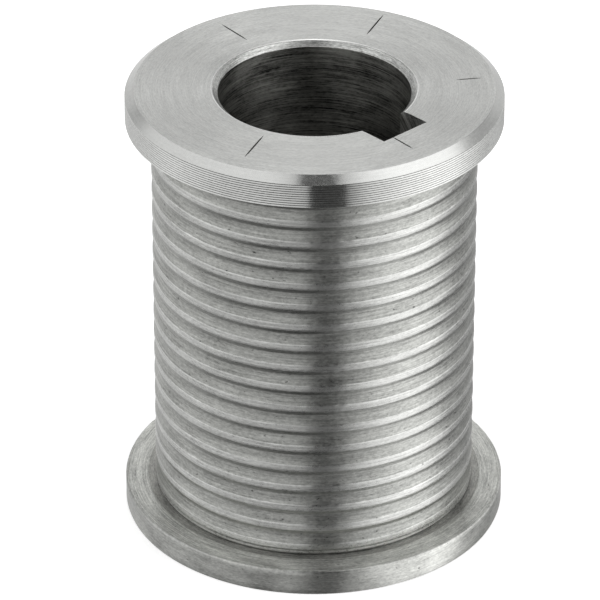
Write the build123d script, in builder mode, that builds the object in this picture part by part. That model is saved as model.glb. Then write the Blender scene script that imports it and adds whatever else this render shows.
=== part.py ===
from build123d import *
from math import asin, cos, degrees, radians, sin
import os

# A keyed steel sleeve with ring grooves on its barrel and a flange seated on each end.
# Millimetres. The origin is the centre of the base face, +Z runs up the bore, and the keyway points to +X.

# Bore and keyway, which run through all three pieces
bore_diameter = 40.0
bore_chamfer = 1.1
key_width = 12.0
keyway_floor = 26.7  # from the bore's axis to the keyway's flat floor

# Whole sleeve
total_height = 98.6

# Lower flange: a plain disc that the sleeve stands on
lower_diameter = 80.8
lower_thickness = 5.7

# Upper flange: a slightly smaller disc with a chamfered top edge
upper_diameter = 78.4
upper_thickness = 6.7
upper_chamfer_height = 1.45
upper_chamfer_width = 1.85

# Spigots: the turned-down ends of the sleeve, seated in a recess in each flange
spigot_diameter = 60.0
spigot_length = 2.5

# Barrel: narrow flat lands at an even pitch, with a shallow groove between neighbours. Each groove's floor
# slopes gently inwards from the land below it, and a shorter flank leads out to the land above it.
land_diameter = 67.9
land_width = 1.15
land_pitch = 4.85
land_count = 18
first_land_height = 7.7  # from the base to the middle of the lowest land
groove_depth = 0.4
flank_height = 1.4  # from a groove's deepest line up to the edge of the land above it

# Five fine lines scribed on the top face, about 60 degrees apart; the sixth place is left plain
scribe_width = 0.3
scribe_depth = 0.15
scribe_offset = 1.6  # every line misses the bore's axis by this much
scribe_lines = [
    # angle from the keyway, distance of the nearer end from the axis, and of the farther end
    (171, 25.3, 34.2),
    (112, 26.0, 35.4),
    (53, 29.5, 34.6),
    (-7, 26.7, 33.0),
    (-69, 23.5, 33.0),
]

# Sizes worked out from those above
bore_radius = bore_diameter / 2
spigot_radius = spigot_diameter / 2
land_radius = land_diameter / 2
groove_radius = land_radius - groove_depth
barrel_bottom = lower_thickness
barrel_top = total_height - upper_thickness

# Lower flange
with BuildPart() as lower_flange:
    with BuildSketch(Plane.XY):
        Circle(lower_diameter / 2)
    extrude(amount=lower_thickness)
    # Recess for the sleeve's lower spigot, open towards the barrel
    with BuildSketch(Plane.XY.offset(lower_thickness - spigot_length)):
        Circle(spigot_radius)
    extrude(amount=spigot_length, mode=Mode.SUBTRACT)
    # Bore, chamfered where it meets the base face
    with BuildSketch(Plane.XY):
        Circle(bore_radius)
    extrude(amount=lower_thickness, mode=Mode.SUBTRACT)
    base_circles = lower_flange.faces().sort_by(Axis.Z)[0].edges().filter_by(GeomType.CIRCLE)
    chamfer(base_circles.sort_by(SortBy.RADIUS)[0], bore_chamfer)
    # Keyway
    with BuildSketch(Plane.XY):
        with Locations((keyway_floor / 2, 0)):
            Rectangle(keyway_floor, key_width)
    extrude(amount=lower_thickness, mode=Mode.SUBTRACT)

# Grooved sleeve: its half profile, drawn as one closed outline and turned round the bore's axis
with BuildPart() as grooved_sleeve:
    with BuildSketch(Plane.XZ):
        with BuildLine():
            # Lower spigot and the neck below the lowest land
            first_land_start = first_land_height - land_width / 2
            Polyline(
                (bore_radius, barrel_bottom - spigot_length),
                (spigot_radius, barrel_bottom - spigot_length),
                (spigot_radius, barrel_bottom),
                (groove_radius, barrel_bottom),
                (groove_radius, first_land_start - groove_depth),
                (land_radius, first_land_start),
            )
            # Lands, each joined to the next by the floor and the flank of a groove
            for index in range(land_count):
                land_height = first_land_height + index * land_pitch
                land_start = (land_radius, land_height - land_width / 2)
                land_end = (land_radius, land_height + land_width / 2)
                Line(land_start, land_end)
                if index < land_count - 1:
                    next_land_start = (land_radius, land_start[1] + land_pitch)
                    groove_bottom = (groove_radius, next_land_start[1] - flank_height)
                    Polyline(land_end, groove_bottom, next_land_start)
            # The neck above the highest land and the upper spigot, then down the bore
            Polyline(
                land_end,
                (groove_radius, land_end[1] + groove_depth),
                (groove_radius, barrel_top),
                (spigot_radius, barrel_top),
                (spigot_radius, barrel_top + spigot_length),
                (bore_radius, barrel_top + spigot_length),
                (bore_radius, barrel_bottom - spigot_length),
            )
        make_face()
    revolve(axis=Axis.Z)
    # Keyway
    with BuildSketch(Plane.XY):
        with Locations((keyway_floor / 2, 0)):
            Rectangle(keyway_floor, key_width)
    extrude(amount=total_height, mode=Mode.SUBTRACT)

# Upper flange
with BuildPart() as upper_flange:
    with BuildSketch(Plane.XY.offset(barrel_top)):
        Circle(upper_diameter / 2)
    extrude(amount=upper_thickness)
    top_face = upper_flange.faces().sort_by(Axis.Z)[-1]
    chamfer(top_face.edges(), upper_chamfer_width, upper_chamfer_height, reference=top_face)
    # Recess for the sleeve's upper spigot, open towards the barrel
    with BuildSketch(Plane.XY.offset(barrel_top)):
        Circle(spigot_radius)
    extrude(amount=spigot_length, mode=Mode.SUBTRACT)
    # Bore, chamfered where it meets the top face
    with BuildSketch(Plane.XY.offset(barrel_top)):
        Circle(bore_radius)
    extrude(amount=upper_thickness, mode=Mode.SUBTRACT)
    top_circles = upper_flange.faces().sort_by(Axis.Z)[-1].edges().filter_by(GeomType.CIRCLE)
    chamfer(top_circles.sort_by(SortBy.RADIUS)[0], bore_chamfer)
    # Keyway
    with BuildSketch(Plane.XY.offset(barrel_top)):
        with Locations((keyway_floor / 2, 0)):
            Rectangle(keyway_floor, key_width)
    extrude(amount=upper_thickness, mode=Mode.SUBTRACT)
    # Scribed lines, each turned off the radial direction so that it misses the axis
    for line_angle, near_end, far_end in scribe_lines:
        middle_radius = (near_end + far_end) / 2
        middle_x = middle_radius * cos(radians(line_angle))
        middle_y = middle_radius * sin(radians(line_angle))
        line_direction = line_angle + degrees(asin(scribe_offset / middle_radius))
        with BuildSketch(Plane.XY.offset(total_height - scribe_depth)):
            with Locations(Location((middle_x, middle_y, 0), (0, 0, line_direction))):
                Rectangle(far_end - near_end, scribe_width)
        extrude(amount=scribe_depth, mode=Mode.SUBTRACT)

os.makedirs("parts", exist_ok=True)
lower_flange.part.label = "lower_flange"
export_step(lower_flange.part, "parts/lower_flange.step")
grooved_sleeve.part.label = "grooved_sleeve"
export_step(grooved_sleeve.part, "parts/grooved_sleeve.step")
upper_flange.part.label = "upper_flange"
export_step(upper_flange.part, "parts/upper_flange.step")
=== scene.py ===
import math

import bpy
import numpy as np
from mathutils import Matrix, Vector, noise


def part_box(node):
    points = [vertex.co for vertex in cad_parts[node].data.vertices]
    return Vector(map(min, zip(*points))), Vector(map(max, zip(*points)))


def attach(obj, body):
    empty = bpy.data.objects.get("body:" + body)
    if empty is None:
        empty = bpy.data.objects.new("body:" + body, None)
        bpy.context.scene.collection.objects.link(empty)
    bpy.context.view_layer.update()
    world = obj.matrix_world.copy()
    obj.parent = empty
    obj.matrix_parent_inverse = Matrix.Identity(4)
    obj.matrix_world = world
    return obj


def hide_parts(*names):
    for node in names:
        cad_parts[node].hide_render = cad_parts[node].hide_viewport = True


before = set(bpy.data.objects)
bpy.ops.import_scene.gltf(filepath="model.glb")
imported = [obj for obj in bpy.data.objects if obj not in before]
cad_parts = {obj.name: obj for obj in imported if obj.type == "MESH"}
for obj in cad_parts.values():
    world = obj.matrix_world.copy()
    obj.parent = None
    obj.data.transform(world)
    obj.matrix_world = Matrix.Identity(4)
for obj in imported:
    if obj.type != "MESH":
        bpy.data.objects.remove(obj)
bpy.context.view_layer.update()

MM = 0.001

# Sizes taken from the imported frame
sleeve_low, sleeve_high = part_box("grooved_sleeve")
lower_low, lower_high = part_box("lower_flange")
upper_low, upper_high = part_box("upper_flange")
TOTAL_HEIGHT = upper_high.z
BARREL_BOTTOM = lower_high.z
BARREL_TOP = upper_low.z
LAND_RADIUS = -sleeve_low.x
LOWER_RADIUS = -lower_low.x
UPPER_RADIUS = -upper_low.x
SPIGOT_LENGTH = BARREL_BOTTOM - sleeve_low.z

# Sizes repeated from the design, in metres
BORE_RADIUS = 20.0 * MM
BORE_CHAMFER = 1.1 * MM
KEY_HALF_WIDTH = 6.0 * MM
KEYWAY_FLOOR = 26.7 * MM
SPIGOT_RADIUS = 30.0 * MM
CHAMFER_HEIGHT = 1.45 * MM
CHAMFER_WIDTH = 1.85 * MM
LAND_PITCH = 4.85 * MM
LAND_COUNT = 18
FIRST_LAND_HEIGHT = 7.7 * MM
GROOVE_DEPTH = 0.4 * MM
SCRIBE_DEPTH = 0.15 * MM
SCRIBE_OFFSET = 1.6 * MM
SCRIBE_LINES = [
    # angle from the keyway, distance of the nearer end from the axis, and of the farther end, in millimetres
    (171, 25.3, 34.2),
    (112, 26.0, 35.4),
    (53, 29.5, 34.6),
    (-7, 26.7, 33.0),
    (-69, 23.5, 33.0),
]

# How the shapes are meshed
STATIONS = 348  # columns of faces round the axis
CLEAR_RADIUS = 28.5 * MM  # a ring that lies just outside the keyway, and is still round
SHARP_ANGLE = math.radians(38)  # edges that fold more than this are shaded sharp
HIDDEN_SHARE = 0.15  # faces that never show get this share of their usual room on the texture
PLAIN_SHARE = 0.6  # faces that show little get this share
BORE_SHARE = 0.5  # and the sleeve's long bore gets this share

# Barrel: its profile over one pitch, from the bottom of one groove to just before the next.
# Each row is the height above the middle of the land and the depth below its surface, in millimetres,
# and whether the faces below that point belong to the land's lighter metal; the grooves' metal is painted
# darker, as shade in the recesses.
LAND_PROFILE = [
    (-1.88, 0.40, False),
    (-1.74, 0.38, False),
    (-1.16, 0.13, False),
    (-0.96, 0.06, False),
    (-0.74, 0.012, True),
    (-0.60, 0.00, True),
    (-0.44, 0.012, True),
    (0.20, 0.016, True),
    (0.38, 0.024, True),
    (0.50, 0.042, True),
    (0.61, 0.064, True),
    (1.05, 0.155, False),
    (1.60, 0.265, False),
    (2.25, 0.345, False),
    (2.70, 0.38, False),
]
LAND_EDGES = (3, 4, 9, 10)  # the rows whose points are torn and uneven
TORN_LANDS = (2, 3, 9, 14, 15)  # the lands, counted from the lowest one, whose edges are torn the most
TEAR = 0.0525 * MM  # depth of the unevenness of the rows at a land's edges
SMOOTH = 0.012 * MM  # and of all the other rows
TORN_MORE = 2.2  # how many times rougher the most torn lands are

# Barrel: the low bead round its neck, just above the lower flange, in the same terms as the profile.
# Its heights are counted from the flange.
NECK_BEAD = [
    (0.28, 0.40, False),
    (0.44, 0.06, False),
    (0.86, 0.06, True),
    (1.02, 0.40, False),
]
NECK_HEIGHT = 1.1 * MM  # the lowest land's own rows start above the bead
TOP_GAP = 0.1 * MM  # and the highest land's rows end this far below the upper flange
BORE_RINGS = 10  # rings of faces down the sleeve's stretch of the bore

# Upper flange
EDGE_BREAK = 0.12 * MM  # width of the small bevel on its lower edge, and of the ring just inside its chamfer
RIM_TOP_INSET = 0.03 * MM  # the rim ends this far inside its full radius, where the chamfer starts
# The turning lines round its rim, each a saw-tooth: a short flank leads out, facing down with its metal
# painted dark as shade, and a longer slope back in
LINE_COUNT = 10
LINE_PITCH = 0.515 * MM
LINE_DEPTH = 0.10 * MM
FIRST_LINE_HEIGHT = 0.48 * MM
LINE_ROOT = -0.07 * MM  # height of a dark flank's deep lower end, from the line's own height
LINE_CREST = 0.14 * MM  # and of its upper end, at the rim's full radius
# Its top face and the mouth of its bore
FACE_RINGS = (35.5, 33.0, 30.5)  # radii of the rings of faces on the top, in millimetres
LIP_WIDTH = 0.30 * MM  # the low bevel, ragged at its outer edge, between the top face and the bore's chamfer
LIP_HEIGHT = 0.10 * MM
MOUTH_STEP = 1.2 * MM  # height of the rings of faces down the flange's stretch of the bore

# Scribed lines: each is cut by a prism with a V section, shallower towards its ends
CUTTER_RISE = 0.3 * MM  # the prism's top lies this far above the top face
CUTTER_SPREAD = 3.75  # half the width of its top, as a multiple of the depth of cut
CUTTER_SECTIONS = (-1.0, -0.7, 0.0, 0.7, 1.0)  # from one end, through the middle at 0, to the other
END_LIFT = 0.6  # share of the depth that is lost at each end
END_POWER = 5  # how late towards the end it is lost

# Lower flange
UNDERSIDE_RING = 34.0 * MM  # radius of a ring of faces on the underside
LOWER_ROUNDING = 0.45 * MM  # the rounded lower edge
ROUNDING_STEP = 0.12 * MM  # both ways from the corner to the middle of that rounding
RIM_INSET = 0.02 * MM  # the worn rim lies this far inside the flange's full radius
RIM_RINGS = (1.6, 3.0, 4.4)  # heights of the rings of faces on the rim, in millimetres
TORN_EDGE = [
    # how far each row of the torn upper edge lies inside the full radius and below the top, in millimetres
    (0.02, 0.34),
    (0.10, 0.14),
    (0.34, 0.02),
]
LOWER_FACE_RINGS = (39.4, 38.6, 37.8, 37.0, 36.3)  # radii of the rings of faces on the top, in millimetres
LOWER_FACE_DROP = 0.04 * MM  # the uneven face lies this far below the flange's full height
FOOT_EDGE_RADIUS = 35.55 * MM  # where the top face ends and the relief round the barrel's foot, with its painted shade, starts
FOOT_EDGE_DROP = 0.02 * MM
FOOT_RELIEF = [
    # radius and depth below the full height of each row of that shallow ring, whose metal is painted darker as
    # shade at the barrel's foot, in millimetres
    (35.25, 0.16),
    (34.35, 0.20),
    (33.2, 0.16),
    (33.0, 0.0),
]


# ---------------------------------------------------------------- turned shapes

def keyway_radius(angle):
    """How far the keyway's outline is from the axis in that direction, or 0 where there is no keyway."""
    if math.cos(angle) <= 0:
        return 0.0
    floor = KEYWAY_FLOOR / math.cos(angle)
    side = KEY_HALF_WIDTH / max(abs(math.sin(angle)), 1e-9)
    return min(floor, side)


def station_angles():
    """Even angles round the axis, with the nearest ones moved onto the keyway's corners."""
    angles = [2 * math.pi * i / STATIONS for i in range(STATIONS)]
    corners = [
        math.asin(KEY_HALF_WIDTH / BORE_RADIUS),
        math.asin(KEY_HALF_WIDTH / (BORE_RADIUS + BORE_CHAMFER)),
        math.atan2(KEY_HALF_WIDTH, KEYWAY_FLOOR),
    ]
    for corner in corners:
        i = round(corner / (2 * math.pi) * STATIONS)
        angles[i] = corner
        angles[STATIONS - i] = 2 * math.pi - corner
    return angles


ANGLES = station_angles()


class Profile:
    """A closed outline in the plane of radius and height, turned round the axis into one watertight mesh."""

    def __init__(self):
        self.points = []
        self.metals = []
        self.weights = []
        self.sharp_rows = []

    def add(self, radius, height, metal, share=1.0, bore=BORE_RADIUS, wobble=None, weight=1.0, sharp=False):
        """Adds a point, and says which metal the faces from the previous point to this one are made of.

        share ties the point to the bore: it says how far the point lies from the bore's edge, 0, to its own
        radius, 1, and bore is the radius of that edge. wobble gives the point's shift outwards and upwards at
        an angle. weight is the share of the usual room that the faces get on the texture, and sharp makes the
        ring of edges through the point sharp.
        """
        if sharp:
            self.sharp_rows.append(len(self.points))
        self.points.append((radius, height, share, bore, wobble))
        self.metals.append(metal)
        self.weights.append(weight)

    def ring(self, radius, height, share, bore, wobble):
        """The places of one point at every station."""
        places = []
        for angle in ANGLES:
            edge = max(bore, keyway_radius(angle)) if share < 1 else 0.0
            outwards, upwards = wobble(angle) if wobble else (0.0, 0.0)
            reach = edge * (1 - share) + radius * share + outwards
            places.append((reach * math.cos(angle), reach * math.sin(angle), height + upwards))
        return places

    def texture_heights(self):
        """Where each point lies on the texture, from 0 to 1 along the whole outline."""
        heights = [0.0]
        for i, start in enumerate(self.points):
            after = (i + 1) % len(self.points)
            end = self.points[after]
            length = math.hypot(start[0] - end[0], start[1] - end[1]) * self.weights[after]
            heights.append(heights[-1] + max(length, 1e-5))
        return [height / heights[-1] for height in heights]

    def mesh(self, name, metals):
        count = len(self.points)
        verts = []
        for point in self.points:
            verts.extend(self.ring(*point))
        heights = self.texture_heights()
        faces, slots, uvs = [], [], []
        for i in range(count):
            after = (i + 1) % count
            low, high = heights[i], heights[i + 1]
            for j in range(STATIONS):
                beside = (j + 1) % STATIONS
                left, right = j / STATIONS, (j + 1) / STATIONS
                near = i * STATIONS
                far = after * STATIONS
                faces.append((near + j, near + beside, far + beside, far + j))
                uvs.extend(((left, low), (right, low), (right, high), (left, high)))
                slots.append(metals.index(self.metals[after]))
        mesh = bpy.data.meshes.new(name)
        mesh.from_pydata(verts, [], faces)
        layer = mesh.uv_layers.new(name="OFBake")
        layer.data.foreach_set("uv", np.array(uvs, np.float32).ravel())
        for metal in metals:
            mesh.materials.append(metal)
        mesh.polygons.foreach_set("material_index", np.array(slots, np.int32))
        mesh.polygons.foreach_set("use_smooth", np.ones(len(faces), bool))
        mesh.set_sharp_from_angle(angle=SHARP_ANGLE)
        self.sharpen(mesh)
        mesh.update()
        return place_in_scene(name, mesh)

    def sharpen(self, mesh):
        """Marks the rings of edges that were asked to be sharp."""
        if not self.sharp_rows:
            return
        ends = np.zeros(len(mesh.edges) * 2, np.int32)
        mesh.edges.foreach_get("vertices", ends)
        rows = ends.reshape(-1, 2) // STATIONS
        along_ring = rows[:, 0] == rows[:, 1]
        marks = mesh.attributes["sharp_edge"].data
        for edge in np.nonzero(along_ring & np.isin(rows[:, 0], self.sharp_rows))[0]:
            marks[int(edge)].value = True


def place_in_scene(name, data):
    """A new object with that data, linked to the scene."""
    made = bpy.data.objects.new(name, data)
    bpy.context.scene.collection.objects.link(made)
    return made


def ripple(seed, slow, fast, slow_rate, fast_rate):
    """A repeatable unevenness round a ring, as a function of the angle.

    It adds slow noise and fast noise. Each has its size, in metres, and its rate of change round the ring.
    """
    def value(angle):
        x, y = math.cos(angle), math.sin(angle)
        broad = noise.noise(Vector((x * slow_rate, y * slow_rate, seed)))
        fine = noise.noise(Vector((x * fast_rate, y * fast_rate, seed + 40.0)))
        return broad * slow + fine * fast
    return value


def worn(inwards=None, downwards=None):
    """A wobble that only takes metal away: each ripple's size counts, whichever way it goes."""
    def shift(angle):
        inward = -abs(inwards(angle)) if inwards else 0.0
        downward = -abs(downwards(angle)) if downwards else 0.0
        return inward, downward
    return shift


# ---------------------------------------------------------------- materials

MIDTONES = (0.3, 0.7)  # nearly all the values of a noise texture lie between these two
OUTWARD_RATE = 1.37  # marks change faster outwards than upwards, so that a 45-degree chamfer has them too

# The kinds of marks in turned metal: how fast each changes per metre round the axis and along the turned
# surface, and the detail and the roughness of its noise
LINES = (90.0, 3600.0, 3.0, 0.6)
GRAIN = (1100.0, 3000.0, 3.0, 0.7)
CLOUDS = (110.0, 230.0, 3.0, 0.6)
PITS = (900.0, 1900.0, 1.0, 0.4)
PIT_RANGE = (0.73, 0.80)  # only the noise's rare high values are pits

GRAIN_ROUGHNESS = 0.04  # how much the grain changes the metal's roughness
CLOUD_ROUGHNESS = 0.03  # and how much the broad patches do
MARK_HEIGHT = 0.02 * MM  # of the marks' bump
ACROSS_THE_MARKS = 0.25  # a quarter turn lays the stretched highlight across the turning marks
SIDE_LIGHT_REACH = 50.0 * MM  # the painted light fades into the painted shade over this much on both sides of the axis


def new_material(name):
    """A new material with its shader and the calls for building its nodes."""
    material = bpy.data.materials.new(name)
    material.use_nodes = True
    return material, material.node_tree.nodes["Principled BSDF"], Graph(material.node_tree)


class Graph:
    """Short calls for building a node tree."""

    def __init__(self, tree):
        self.tree = tree

    def node(self, kind, **settings):
        made = self.tree.nodes.new(kind)
        for key, value in settings.items():
            setattr(made, key, value)
        return made

    def link(self, source, target):
        self.tree.links.new(source, target)

    def feed(self, socket, value):
        if isinstance(value, (int, float)):
            socket.default_value = value
        else:
            self.link(value, socket)

    def math(self, operation, a, b=0.0):
        made = self.node("ShaderNodeMath", operation=operation)
        self.feed(made.inputs[0], a)
        self.feed(made.inputs[1], b)
        return made.outputs[0]

    def remap(self, value, old, new, smooth=False):
        """Maps the old range, a pair, onto the new one."""
        made = self.node("ShaderNodeMapRange")
        if smooth:
            made.interpolation_type = "SMOOTHSTEP"
        self.link(value, made.inputs["Value"])
        made.inputs["From Min"].default_value = old[0]
        made.inputs["From Max"].default_value = old[1]
        made.inputs["To Min"].default_value = new[0]
        made.inputs["To Max"].default_value = new[1]
        return made.outputs["Result"]

    def vary(self, marks, amount):
        """A noise's midtones, spread from minus the amount to plus the amount."""
        return self.remap(marks, MIDTONES, (-amount, amount))

    def noise(self, vector, detail, roughness):
        made = self.node("ShaderNodeTexNoise")
        self.link(vector, made.inputs["Vector"])
        made.inputs["Scale"].default_value = 1.0
        made.inputs["Detail"].default_value = detail
        made.inputs["Roughness"].default_value = roughness
        return made.outputs["Fac"]

    def combine(self, x, y, z):
        made = self.node("ShaderNodeCombineXYZ")
        self.feed(made.inputs[0], x)
        self.feed(made.inputs[1], y)
        self.feed(made.inputs[2], z)
        return made.outputs[0]

    def separate(self, vector):
        made = self.node("ShaderNodeSeparateXYZ")
        self.link(vector, made.inputs[0])
        return made.outputs

    def blend(self, factor, a, b):
        made = self.node("ShaderNodeMix", data_type="RGBA")
        self.link(factor, made.inputs["Factor"])
        self.link(a, made.inputs["A"])
        self.link(b, made.inputs["B"])
        return made.outputs["Result"]


def turned_marks(graph, kind):
    """Noise that follows the turning: its two rates apply round the axis, and outwards or upwards."""
    around, along, detail, roughness = kind
    x, y, z = graph.separate(graph.node("ShaderNodeTexCoord").outputs["Object"])
    squares = graph.math("ADD", graph.math("MULTIPLY", x, x), graph.math("MULTIPLY", y, y))
    radius = graph.math("SQRT", squares)
    profile = graph.math("ADD", graph.math("MULTIPLY", radius, OUTWARD_RATE), z)
    place = graph.combine(
        graph.math("MULTIPLY", x, around),
        graph.math("MULTIPLY", y, around),
        graph.math("MULTIPLY", profile, along),
    )
    return graph.noise(place, detail, roughness)


def turned_steel(name, colour, rough, anisotropy, lines, grain, clouds, pits=0.0, relief=0.5, side_light=0.0):
    """Bare turned steel.

    lines, grain and clouds are how much its tone changes in the fine lines round the axis, in the small
    mottled spots between them and in broad patches, and pits is how dark its few small pits are. relief is
    the strength of the marks' bump. The last argument is painted light and shade: how much brighter the
    metal is made towards +X and +Y, the camera's right where the tent is brightest, and darker opposite.
    """
    material, shader, graph = new_material(name)
    shader.inputs["Metallic"].default_value = 1.0
    shader.inputs["Anisotropic"].default_value = anisotropy
    shader.inputs["Anisotropic Rotation"].default_value = ACROSS_THE_MARKS
    tangent = graph.node("ShaderNodeTangent", direction_type="RADIAL", axis="Z")
    graph.link(tangent.outputs[0], shader.inputs["Tangent"])

    line_marks = turned_marks(graph, LINES)
    grain_marks = turned_marks(graph, GRAIN)
    cloud_marks = turned_marks(graph, CLOUDS)

    tone = graph.math("ADD", graph.vary(line_marks, lines), 1.0)
    tone = graph.math("ADD", tone, graph.vary(grain_marks, grain))
    tone = graph.math("ADD", tone, graph.vary(cloud_marks, clouds))
    if pits:
        pit_marks = turned_marks(graph, PITS)
        tone = graph.math("SUBTRACT", tone, graph.remap(pit_marks, PIT_RANGE, (0.0, pits)))
    # Painted light and shade: brighter towards the camera's right, where the tent is brightest, darker towards
    # its left
    if side_light:
        x, y, z = graph.separate(graph.node("ShaderNodeTexCoord").outputs["Object"])
        reach = (-SIDE_LIGHT_REACH, SIDE_LIGHT_REACH)
        side = graph.remap(graph.math("ADD", x, y), reach, (1.0 - side_light, 1.0 + side_light), smooth=True)
        tone = graph.math("MULTIPLY", tone, side)
    shade = graph.node("ShaderNodeMix", data_type="RGBA", blend_type="MULTIPLY")
    shade.inputs["Factor"].default_value = 1.0
    shade.inputs["A"].default_value = (*colour, 1.0)
    graph.link(graph.combine(tone, tone, tone), shade.inputs["B"])
    graph.link(shade.outputs["Result"], shader.inputs["Base Color"])

    roughness = graph.math("ADD", graph.vary(grain_marks, GRAIN_ROUGHNESS), rough)
    roughness = graph.math("ADD", roughness, graph.vary(cloud_marks, CLOUD_ROUGHNESS))
    graph.link(roughness, shader.inputs["Roughness"])

    bump = graph.node("ShaderNodeBump")
    bump.inputs["Strength"].default_value = relief
    bump.inputs["Distance"].default_value = MARK_HEIGHT
    graph.link(graph.math("ADD", line_marks, grain_marks), bump.inputs["Height"])
    graph.link(bump.outputs[0], shader.inputs["Normal"])
    return material


# Barrel: the grooves' metal is painted darker than the lands', as shade in the recesses
groove_steel = turned_steel(
    "groove_steel", (0.45, 0.455, 0.435), rough=0.32, anisotropy=0.5,
    lines=0.26, grain=0.28, clouds=0.12, pits=0.6,
)
land_steel = turned_steel(
    "land_steel", (0.70, 0.705, 0.685), rough=0.30, anisotropy=0.88,
    lines=0.22, grain=0.18, clouds=0.08, pits=0.4,
)

# Upper flange
rim_steel = turned_steel(
    "rim_steel", (0.70, 0.705, 0.69), rough=0.18, anisotropy=0.95,
    lines=0.04, grain=0.12, clouds=0.04, relief=0.25,
)
# Painted shade: the down-facing flank of each turning line is made dark
flank_shade_steel = turned_steel(
    "flank_shade_steel", (0.20, 0.20, 0.19), rough=0.26, anisotropy=0.8,
    lines=0.10, grain=0.30, clouds=0.05,
)
chamfer_steel = turned_steel(
    "chamfer_steel", (0.66, 0.665, 0.65), rough=0.14, anisotropy=0.95,
    lines=0.04, grain=0.06, clouds=0.03, relief=0.2,
)
mouth_steel = turned_steel(
    "mouth_steel", (0.52, 0.525, 0.51), rough=0.36, anisotropy=0.4,
    lines=0.35, grain=0.50, clouds=0.30, relief=1.0,
)
face_steel = turned_steel(
    "face_steel", (0.585, 0.59, 0.575), rough=0.42, anisotropy=0.90,
    lines=0.12, grain=0.20, clouds=0.10,
)
# Painted shade: the scribed lines' metal is made nearly black, as the shade inside the fine V cuts
scribe_steel = turned_steel(
    "scribe_steel", (0.06, 0.06, 0.055), rough=0.6, anisotropy=0.3,
    lines=0.08, grain=0.05, clouds=0.04,
)

# Lower flange
# Its metal is painted lighter on the camera's right and darker on its left, as light and shade
lower_steel = turned_steel(
    "lower_steel", (0.58, 0.585, 0.56), rough=0.34, anisotropy=0.8,
    lines=0.14, grain=0.24, clouds=0.22, pits=0.6, side_light=0.12,
)
lower_face_steel = turned_steel(
    "lower_face_steel", (0.57, 0.575, 0.55), rough=0.50, anisotropy=0.5,
    lines=0.30, grain=0.30, clouds=0.26, pits=0.6,
)
# Painted shade: the ring where the barrel meets the flange is made darker
foot_shade_steel = turned_steel(
    "foot_shade_steel", (0.41, 0.41, 0.39), rough=0.5, anisotropy=0.5,
    lines=0.15, grain=0.40, clouds=0.25,
)

# Bore, through all three pieces: its metal is painted dark, as shade inside the bore
bore_steel = turned_steel(
    "bore_steel", (0.23, 0.23, 0.215), rough=0.42, anisotropy=0.8,
    lines=0.80, grain=0.40, clouds=0.50, relief=1.0,
)


# ---------------------------------------------------------------- the three pieces

HIDDEN = {"metal": bore_steel, "weight": HIDDEN_SHARE}


def land_wobble(index, row):
    """How one row of one land leaves its true place: worn inwards, and strayed up or down."""
    size = TEAR if row in LAND_EDGES else SMOOTH
    if index in TORN_LANDS:
        size *= TORN_MORE
    tear = ripple(index * 3.1 + row * 0.2, slow=size * 0.6, fast=size, slow_rate=7.0, fast_rate=48.0)
    slip = ripple(index * 5.3 + 90.0, slow=0.03 * MM, fast=0.02 * MM, slow_rate=5.0, fast_rate=30.0)
    return lambda angle: (-abs(tear(angle)), slip(angle))


def grooved_sleeve():
    """The barrel with its lands and grooves, the hidden spigots at its ends, and its stretch of the bore."""
    profile = Profile()
    bottom, top = sleeve_low.z, sleeve_high.z
    groove = LAND_RADIUS - GROOVE_DEPTH
    # The lower spigot, then the neck with its bead
    profile.add(BORE_RADIUS, bottom, bore_steel, share=0.0, weight=PLAIN_SHARE)
    profile.add(SPIGOT_RADIUS, bottom, **HIDDEN)
    profile.add(SPIGOT_RADIUS, BARREL_BOTTOM, **HIDDEN)
    profile.add(groove, BARREL_BOTTOM, **HIDDEN)
    for height, depth, on_land in NECK_BEAD:
        metal = land_steel if on_land else groove_steel
        profile.add(LAND_RADIUS - depth * MM, BARREL_BOTTOM + height * MM, metal)
    # Lands and grooves
    for index in range(LAND_COUNT):
        middle = FIRST_LAND_HEIGHT + index * LAND_PITCH
        for row, (offset, depth, on_land) in enumerate(LAND_PROFILE):
            height = middle + offset * MM
            if BARREL_BOTTOM + NECK_HEIGHT <= height <= BARREL_TOP - TOP_GAP:
                metal = land_steel if on_land else groove_steel
                profile.add(LAND_RADIUS - depth * MM, height, metal, wobble=land_wobble(index, row))
    profile.add(groove, BARREL_TOP, groove_steel)
    # The upper spigot, then down the bore
    profile.add(SPIGOT_RADIUS, BARREL_TOP, **HIDDEN)
    profile.add(SPIGOT_RADIUS, top, **HIDDEN)
    profile.add(BORE_RADIUS, top, share=0.0, **HIDDEN)
    for index in range(1, BORE_RINGS):
        height = top + (bottom - top) * index / BORE_RINGS
        profile.add(BORE_RADIUS, height, bore_steel, share=0.0, weight=BORE_SHARE)
    return profile.mesh("grooved_sleeve_turned", [groove_steel, land_steel, bore_steel])


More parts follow.
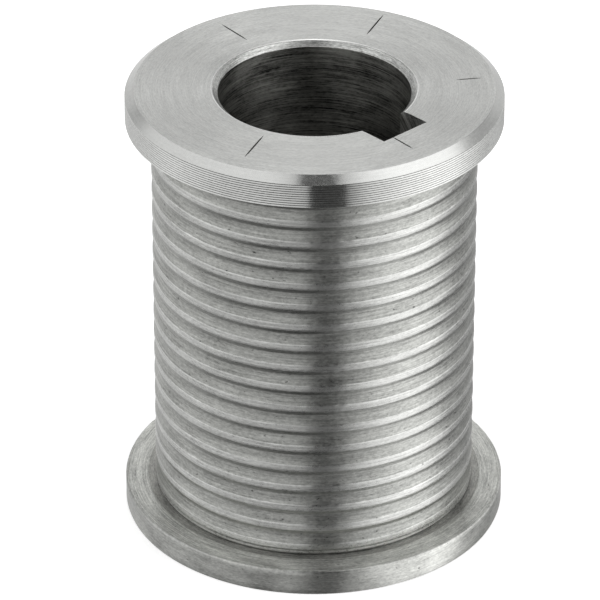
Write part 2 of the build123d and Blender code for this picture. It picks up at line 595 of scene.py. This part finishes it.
def upper_flange():
    """The chamfered disc: fine turning lines on its rim, and the scribed lines cut into its top face."""
    profile = Profile()
    recess = BARREL_TOP + SPIGOT_LENGTH
    # The recess for the spigot, then the underside
    profile.add(BORE_RADIUS, recess, bore_steel, share=0.0, weight=PLAIN_SHARE)
    profile.add(SPIGOT_RADIUS, recess, **HIDDEN)
    profile.add(SPIGOT_RADIUS, BARREL_TOP, **HIDDEN)
    profile.add(LAND_RADIUS, BARREL_TOP, **HIDDEN)
    profile.add(UPPER_RADIUS - EDGE_BREAK, BARREL_TOP, face_steel)
    profile.add(UPPER_RADIUS, BARREL_TOP + EDGE_BREAK, chamfer_steel)
    # Up the rim, line by line
    for index in range(LINE_COUNT):
        height = BARREL_TOP + FIRST_LINE_HEIGHT + index * LINE_PITCH
        cut = ripple(index * 2.3 + 60.0, slow=0.010 * MM, fast=0.005 * MM, slow_rate=2.0, fast_rate=9.0)
        profile.add(
            UPPER_RADIUS - LINE_DEPTH, height + LINE_ROOT, rim_steel, sharp=True,
            wobble=lambda angle, cut=cut: (cut(angle), cut(angle)),
        )
        profile.add(UPPER_RADIUS, height + LINE_CREST, flank_shade_steel, sharp=True)
    profile.add(UPPER_RADIUS - RIM_TOP_INSET, TOTAL_HEIGHT - CHAMFER_HEIGHT, rim_steel, sharp=True)
    # The chamfer and the top face
    inner = UPPER_RADIUS - CHAMFER_WIDTH
    profile.add(inner, TOTAL_HEIGHT, chamfer_steel, sharp=True)
    profile.add(inner - EDGE_BREAK, TOTAL_HEIGHT, face_steel)
    for radius in FACE_RINGS:
        profile.add(radius * MM, TOTAL_HEIGHT, face_steel)
    profile.add(CLEAR_RADIUS, TOTAL_HEIGHT, face_steel)
    # The mouth of the bore and the keyway, with its lip and chamfer, then the flange's stretch of the bore
    mouth = BORE_RADIUS + BORE_CHAMFER
    lip = mouth + LIP_WIDTH
    ragged = ripple(31.0, slow=0.04 * MM, fast=0.10 * MM, slow_rate=9.0, fast_rate=60.0)
    profile.add(CLEAR_RADIUS, TOTAL_HEIGHT, face_steel, share=0.5, bore=mouth)
    profile.add(
        lip, TOTAL_HEIGHT, face_steel, share=0.0, bore=lip,
        wobble=lambda angle: (abs(ragged(angle)), 0.0),
    )
    profile.add(mouth, TOTAL_HEIGHT - LIP_HEIGHT, chamfer_steel, share=0.0, bore=mouth, sharp=True)
    profile.add(BORE_RADIUS, TOTAL_HEIGHT - BORE_CHAMFER, mouth_steel, share=0.0)
    for index in (1, 2):
        height = TOTAL_HEIGHT - BORE_CHAMFER - index * MOUTH_STEP
        profile.add(BORE_RADIUS, height, bore_steel, share=0.0)
    metals = [rim_steel, face_steel, chamfer_steel, bore_steel, scribe_steel, flank_shade_steel, mouth_steel]
    piece = profile.mesh("upper_flange_turned", metals)
    scribe(piece)
    return piece


def scribe_prism(verts, faces, line_angle, near, far):
    """Adds the prism that cuts one scribed line to the lists of corners and faces."""
    middle = (near + far) / 2 * MM
    half = (far - near) / 2 * MM
    turn = math.radians(line_angle)
    centre = Vector((middle * math.cos(turn), middle * math.sin(turn), 0))
    turn += math.asin(SCRIBE_OFFSET / middle)
    along = Vector((math.cos(turn), math.sin(turn), 0))
    across = Vector((-along.y, along.x, 0))
    top = Vector((0, 0, TOTAL_HEIGHT + CUTTER_RISE))
    sections = []
    for share in CUTTER_SECTIONS:
        deep = SCRIBE_DEPTH * (1.0 - END_LIFT * abs(share) ** END_POWER)
        spot = centre + along * (half * share)
        sections.append(len(verts))
        verts.append(spot + across * (deep * CUTTER_SPREAD) + top)
        verts.append(spot - across * (deep * CUTTER_SPREAD) + top)
        verts.append(spot + Vector((0, 0, TOTAL_HEIGHT - deep)))
    for a, b in zip(sections, sections[1:]):
        faces += [(a, a + 1, b + 1, b), (a + 1, a + 2, b + 2, b + 1), (a + 2, a, b, b + 2)]
    first, last = sections[0], sections[-1]
    faces += [(first, first + 2, first + 1), (last, last + 1, last + 2)]


def scribe(piece):
    """Cuts the five fine lines into the top face, each a V that gets shallower and narrower at its ends."""
    verts, faces = [], []
    for line_angle, near, far in SCRIBE_LINES:
        scribe_prism(verts, faces, line_angle, near, far)
    mesh = bpy.data.meshes.new("scribe_cutter")
    mesh.from_pydata(verts, [], faces)
    for metal in piece.data.materials:
        mesh.materials.append(metal)
    slot = piece.data.materials.find(scribe_steel.name)
    mesh.polygons.foreach_set("material_index", np.full(len(faces), slot, np.int32))
    cutter = place_in_scene("scribe_cutter", mesh)
    modifier = piece.modifiers.new("scribe", "BOOLEAN")
    modifier.operation = "DIFFERENCE"
    modifier.solver = "EXACT"
    modifier.object = cutter
    bpy.context.view_layer.update()
    cut = bpy.data.meshes.new_from_object(piece.evaluated_get(bpy.context.evaluated_depsgraph_get()))
    piece.modifiers.clear()
    whole = piece.data
    piece.data = cut
    bpy.data.meshes.remove(whole)
    bpy.data.objects.remove(cutter)
    bpy.data.meshes.remove(mesh)


def lower_flange():
    """The rougher disc that the sleeve stands on: a torn upper edge, and a ring round the barrel's foot
    painted darker as shade.
    """
    profile = Profile()
    top = BARREL_BOTTOM
    recess = top - SPIGOT_LENGTH
    mouth = BORE_RADIUS + BORE_CHAMFER
    # The underside and the rounded lower edge
    profile.add(mouth, 0.0, lower_steel, share=0.0, bore=mouth, weight=PLAIN_SHARE)
    for radius in (CLEAR_RADIUS, UNDERSIDE_RING, LOWER_RADIUS - LOWER_ROUNDING):
        profile.add(radius, 0.0, lower_steel, weight=PLAIN_SHARE)
    profile.add(LOWER_RADIUS - ROUNDING_STEP, ROUNDING_STEP, lower_steel)
    profile.add(LOWER_RADIUS, LOWER_ROUNDING, lower_steel)
    # The rim
    for height in RIM_RINGS:
        wear = ripple(height, slow=0.02 * MM, fast=0.015 * MM, slow_rate=5.0, fast_rate=25.0)
        profile.add(LOWER_RADIUS - RIM_INSET, height * MM, lower_steel, wobble=worn(inwards=wear))
    # The torn upper edge
    dents = ripple(7.0, slow=0.05 * MM, fast=0.03 * MM, slow_rate=4.0, fast_rate=30.0)
    torn = ripple(11.0, slow=0.20 * MM, fast=0.13 * MM, slow_rate=6.0, fast_rate=30.0)
    slight = ripple(11.0, slow=0.06 * MM, fast=0.039 * MM, slow_rate=6.0, fast_rate=30.0)
    wobbles = [worn(downwards=torn), worn(dents, torn), worn(dents, slight)]
    for (inset, drop), wobble in zip(TORN_EDGE, wobbles):
        profile.add(LOWER_RADIUS - inset * MM, top - drop * MM, lower_steel, wobble=wobble)
    # The top face, and the relief in it
    for radius in LOWER_FACE_RINGS:
        sag = ripple(radius, slow=0.03 * MM, fast=0.02 * MM, slow_rate=5.0, fast_rate=24.0)
        profile.add(radius * MM, top - LOWER_FACE_DROP, lower_face_steel, wobble=worn(downwards=sag))
    profile.add(FOOT_EDGE_RADIUS, top - FOOT_EDGE_DROP, lower_face_steel)
    for radius, drop in FOOT_RELIEF:
        profile.add(radius * MM, top - drop * MM, foot_shade_steel)
    # The recess for the spigot, then down the bore
    profile.add(SPIGOT_RADIUS, top, **HIDDEN)
    profile.add(SPIGOT_RADIUS, recess, **HIDDEN)
    profile.add(BORE_RADIUS, recess, share=0.0, **HIDDEN)
    profile.add(BORE_RADIUS, BORE_CHAMFER, bore_steel, share=0.0)
    metals = [lower_steel, bore_steel, foot_shade_steel, lower_face_steel]
    return profile.mesh("lower_flange_turned", metals)


for node, slot, make in (
    ("grooved_sleeve", "sleeve_steel", grooved_sleeve),
    ("upper_flange", "upper_flange_steel", upper_flange),
    ("lower_flange", "lower_flange_steel", lower_flange),
):
    piece = make()
    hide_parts(node)
    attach(piece, "root")


# ---------------------------------------------------------------- studio

# Camera: a long lens, aimed a little beside the axis to frame the sleeve as it is framed in the photograph
CAMERA_AZIMUTH = math.radians(-43.6)  # direction from the axis to the camera, counted from +X towards +Y
CAMERA_ELEVATION = math.radians(30.32)
CAMERA_ROLL = math.radians(0.138)
CAMERA_DISTANCE = 1047.0 * MM
CAMERA_LENS = 297.75  # focal length and sensor width in millimetres
CAMERA_SENSOR = 36.0
CAMERA_CENTRE = Vector((0, 0, 48.98 * MM))  # the point, near the sleeve's middle, that the camera circles
AIM_LEFT = 2.966 * MM  # how far the camera looks past that point
AIM_BELOW = 1.092 * MM

FLOOR_HALF_WIDTH = 3.0
FLOOR_COLOUR = (0.9, 0.9, 0.9, 1)
FLOOR_ROUGHNESS = 0.9
FLOOR_GLOW = 0.55  # the floor shines a little, so that it stays pale in the sleeve's shade
WHITE = (1, 1, 1, 1)
LIGHT_STRENGTH = 1.75  # the highest brightness in the bands, because a colour ramp itself stops at 1

# The studio's brightness in four bands, from straight down to high overhead. Each pair is a direction, in
# degrees counted anticlockwise from the camera as seen from above, and the brightness there.
BELOW = [
    (-180, 0.60), (-140, 0.56), (-118, 0.40), (-88, 0.16), (-55, 0.07), (-30, 0.05), (-8, 0.04), (0, 0.03),
    (17, 0.04), (30, 0.18), (50, 0.50), (68, 0.70), (80, 0.68), (94, 0.42), (106, 0.28), (122, 0.24),
    (142, 0.28), (160, 0.36), (180, 0.60),
]
LOW = [
    (-180, 0.80), (-158, 0.66), (-140, 0.65), (-118, 0.56), (-88, 0.40), (-55, 0.33), (-30, 0.29), (-9, 0.25),
    (-3, 0.19), (15, 0.19), (21, 0.29), (32, 0.50), (50, 1.02), (64, 1.28), (86, 1.26), (97, 0.80),
    (106, 0.42), (114, 0.27), (140, 0.27), (158, 0.36), (180, 0.70),
]
MIDDLE = [
    (-180, 0.85), (-140, 0.66), (-118, 0.75), (-88, 1.02), (-60, 0.84), (-30, 0.78), (-10, 0.72), (-4, 0.62),
    (-2, 0.06), (17, 0.06), (20, 0.46), (32, 0.94), (50, 1.25), (70, 1.52), (88, 1.46), (97, 1.14),
    (106, 0.92), (116, 0.74), (140, 0.70), (160, 0.68), (180, 0.85),
]
HIGH = [
    (-180, 1.75), (-173, 1.30), (-166, 0.46), (-158, 0.34), (-149, 0.42), (-144, 0.16), (-138, 0.20),
    (-132, 0.54), (-127, 0.86), (-111, 0.90), (-80, 0.96), (-52, 0.98), (-37, 0.90), (-21, 0.66), (-17, 0.14),
    (26, 0.10), (30, 0.50), (37, 0.72), (53, 1.02), (65, 1.26), (77, 1.42), (109, 1.46), (113, 1.18),
    (117, 0.58), (124, 0.48), (132, 0.32), (147, 0.20), (158, 0.24), (166, 0.46), (173, 1.30), (180, 1.75),
]

# Each of the upper three bands takes over from the one below it between two heights of the direction's unit
# vector, from -1 straight down to 1 straight up.
TAKEOVERS = [
    (LOW, -0.95, -0.62),
    (MIDDLE, -0.52, -0.16),
    (HIGH, 0.15, 0.62),
]


def pale_floor():
    """A plain white floor. The steel doesn't reflect it, so that the studio light alone sets its shading."""
    half = FLOOR_HALF_WIDTH
    corners = [(-half, -half, 0), (half, -half, 0), (half, half, 0), (-half, half, 0)]
    mesh = bpy.data.meshes.new("floor")
    mesh.from_pydata(corners, [], [(0, 1, 2, 3)])
    floor = place_in_scene("floor", mesh)
    material, shader, graph = new_material("floor_white")
    shader.inputs["Base Color"].default_value = FLOOR_COLOUR
    shader.inputs["Roughness"].default_value = FLOOR_ROUGHNESS
    shader.inputs["Emission Color"].default_value = WHITE
    shader.inputs["Emission Strength"].default_value = FLOOR_GLOW
    mesh.materials.append(material)
    floor.visible_glossy = False


def band(graph, azimuth, stops):
    """Brightness by direction, as a colour ramp round the horizon."""
    made = graph.node("ShaderNodeValToRGB")
    graph.link(azimuth, made.inputs[0])
    elements = made.color_ramp.elements
    while len(elements) < len(stops):
        elements.new(0.5)
    for element, (degrees, level) in zip(elements, stops):
        element.position = (degrees + 180) / 360
        share = level / LIGHT_STRENGTH
        element.color = (share, share, share, 1)
    return made.outputs[0]


def studio_world():
    """A soft light tent: bright to the picture's right, dim below, with a dark slit just beside the camera."""
    world = bpy.data.worlds.new("light_tent")
    bpy.context.scene.world = world
    world.use_nodes = True
    graph = Graph(world.node_tree)
    turn = graph.node("ShaderNodeVectorRotate", rotation_type="Z_AXIS")
    turn.inputs["Angle"].default_value = -CAMERA_AZIMUTH
    graph.link(graph.node("ShaderNodeTexCoord").outputs["Generated"], turn.inputs["Vector"])
    x, y, z = graph.separate(turn.outputs[0])
    azimuth = graph.math("ADD", graph.math("DIVIDE", graph.math("ARCTAN2", y, x), 2 * math.pi), 0.5)
    light = band(graph, azimuth, BELOW)
    for stops, starts, ends in TAKEOVERS:
        height = graph.remap(z, (starts, ends), (0.0, 1.0), smooth=True)
        light = graph.blend(height, light, band(graph, azimuth, stops))
    background = world.node_tree.nodes["Background"]
    graph.link(light, background.inputs["Color"])
    background.inputs["Strength"].default_value = LIGHT_STRENGTH
    # The camera sees plain white behind the object instead of the tent
    backdrop = graph.node("ShaderNodeBackground")
    backdrop.inputs["Color"].default_value = WHITE
    rays = graph.node("ShaderNodeLightPath")
    choose = graph.node("ShaderNodeMixShader")
    graph.link(rays.outputs["Is Camera Ray"], choose.inputs[0])
    graph.link(background.outputs[0], choose.inputs[1])
    graph.link(backdrop.outputs[0], choose.inputs[2])
    graph.link(choose.outputs[0], world.node_tree.nodes["World Output"].inputs["Surface"])


def photo_camera():
    """A long lens from a little above, at the photograph's angle."""
    back = Vector((
        math.cos(CAMERA_AZIMUTH) * math.cos(CAMERA_ELEVATION),
        math.sin(CAMERA_AZIMUTH) * math.cos(CAMERA_ELEVATION),
        math.sin(CAMERA_ELEVATION),
    ))
    right = Vector((0, 0, 1)).cross(back).normalized()
    up = back.cross(right)
    location = CAMERA_CENTRE + back * CAMERA_DISTANCE
    aim = CAMERA_CENTRE - right * AIM_LEFT - up * AIM_BELOW
    away = (location - aim).normalized()
    side = up.cross(away).normalized()
    upright = away.cross(side)
    tilted_side = side * math.cos(CAMERA_ROLL) + upright * math.sin(CAMERA_ROLL)
    tilted_up = upright * math.cos(CAMERA_ROLL) - side * math.sin(CAMERA_ROLL)
    rotation = Matrix((tilted_side, tilted_up, away)).transposed()
    camera = place_in_scene("camera", bpy.data.cameras.new("camera"))
    camera.data.lens = CAMERA_LENS
    camera.data.sensor_width = CAMERA_SENSOR
    camera.data.clip_start = 0.05
    camera.data.clip_end = 20.0
    camera.matrix_world = Matrix.Translation(location) @ rotation.to_4x4()
    bpy.context.scene.camera = camera


pale_floor()
studio_world()
photo_camera()
bpy.context.scene.view_settings.view_transform = "Standard"
